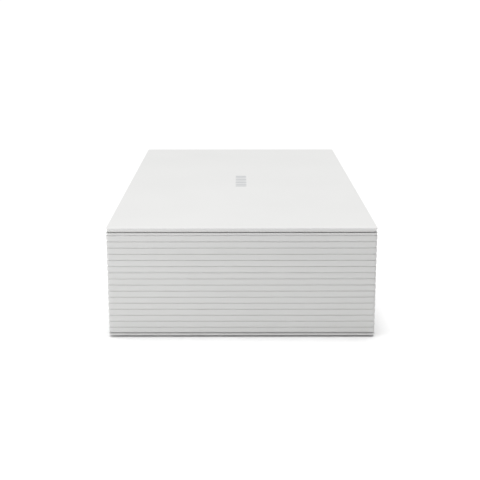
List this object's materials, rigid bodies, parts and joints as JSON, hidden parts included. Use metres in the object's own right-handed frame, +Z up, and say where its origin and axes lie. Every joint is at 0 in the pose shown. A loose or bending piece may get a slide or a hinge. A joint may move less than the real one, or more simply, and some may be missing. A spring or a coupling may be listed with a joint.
{
  "type": "network attached storage",
  "caption": "Flat white storage box with ribbed walls, a plain clipped lid, sockets and a cooling fan at the rear, and a shock-mounted disk drive inside.",
  "frame": {"origin": "centre of the bounding box's footprint, on the plane that the feet stand on", "axes": "+Z up through the lid, +Y from the ribbed front towards the sockets, +X to the right as seen from the front"},
  "size_m": [0.16, 0.266, 0.068],
  "materials": {
    "case_plastic": "fine matte texture, moulded white plastic",
    "black_plastic": "moulded black plastic",
    "chip_resin": "moulded chip resin",
    "plated_steel": "zinc plated sheet steel",
    "screw_steel": "zinc plated screw steel",
    "cell_steel": "drawn stainless can",
    "cast_aluminium": "as cast",
    "extruded_aluminium": "natural anodised",
    "platter_mirror": "polished",
    "foot_rubber": "grey moulded rubber",
    "grommet_rubber": "soft black rubber",
    "circuit_board": "green solder mask",
    "lamp_plastic": "clear acrylic",
    "cable_jacket": "black cable jacket",
    "white_nylon": "natural nylon"
  },
  "bodies": {
    "casing": {"base_tray": "case_plastic", "case_screw_front_left": "screw_steel", "case_screw_front_right": "screw_steel", "case_screw_rear_left": "screw_steel", "case_screw_rear_right": "screw_steel", "cell_holder": "black_plastic", "coin_cell": "cell_steel", "dc_jack": "black_plastic", "drive_board": "circuit_board", "drive_casting": "cast_aluminium", "drive_connector": "black_plastic", "drive_cradle": "plated_steel", "drive_lid": "plated_steel", "drive_screw_front_left": "screw_steel", "drive_screw_front_right": "screw_steel", "drive_screw_rear_left": "screw_steel", "drive_screw_rear_right": "screw_steel", "fan_frame": "black_plastic", "fan_lead": "cable_jacket", "fan_plug": "white_nylon", "fan_screw_lower_left": "screw_steel", "fan_screw_lower_right": "screw_steel", "fan_screw_upper_left": "screw_steel", "fan_screw_upper_right": "screw_steel", "foot_front_left": "foot_rubber", "foot_front_right": "foot_rubber", "foot_rear_left": "foot_rubber", "foot_rear_right": "foot_rubber", "grommet_front_left": "grommet_rubber", "grommet_front_right": "grommet_rubber", "grommet_rear_left": "grommet_rubber", "grommet_rear_right": "grommet_rubber", "heat_sink": "extruded_aluminium", "lan_jack": "plated_steel", "light_pipe": "lamp_plastic", "lock_plate": "plated_steel", "magnet_yoke": "plated_steel", "main_board": "circuit_board", "memory_chip": "chip_resin", "power_switch": "black_plastic", "processor": "chip_resin", "rear_panel": "case_plastic", "reset_switch": "black_plastic", "ribbed_sleeve": "case_plastic", "sata_cable": "cable_jacket", "sata_header": "black_plastic", "sata_plug": "black_plastic", "status_lamp": "lamp_plastic", "switch_board": "circuit_board", "top_cover": "case_plastic", "usb_insulator_left": "black_plastic", "usb_insulator_right": "black_plastic", "usb_shell_left": "plated_steel", "usb_shell_right": "plated_steel"},
    "fan": {"fan_rotor": "black_plastic"},
    "spindle": {"platter_stack": "platter_mirror"},
    "heads": {"head_arm": "cast_aluminium"},
    "power": {"power_button": "case_plastic", "switch_plunger": "black_plastic"},
    "reset": {"reset_button": "black_plastic"}
  },
  "joints": [
    {"name": "fan_spin", "type": "hinge", "parent": "casing", "child": "fan", "pos_m": [-0.042, 0.1205, 0.03395], "axis": [0, 1, 0], "continuous": true},
    {"name": "spindle_spin", "type": "hinge", "parent": "casing", "child": "spindle", "pos_m": [0, -0.0716, 0.027], "axis": [0, 0, 1], "continuous": true},
    {"name": "head_swing", "type": "hinge", "parent": "casing", "child": "heads", "pos_m": [0.024, -0.0206, 0.027], "axis": [0, 0, 1], "range_deg": [0, 34]},
    {"name": "power_press", "type": "slide", "parent": "casing", "child": "power", "axis": [0, -1, 0], "range_m": [0, 0.0012], "stiffness_N_per_m": 1200, "springref_m": -0.0004},
    {"name": "reset_press", "type": "slide", "parent": "casing", "child": "reset", "axis": [0, -1, 0], "range_m": [0, 0.0005], "stiffness_N_per_m": 2500, "springref_m": -0.0002}
  ]
}
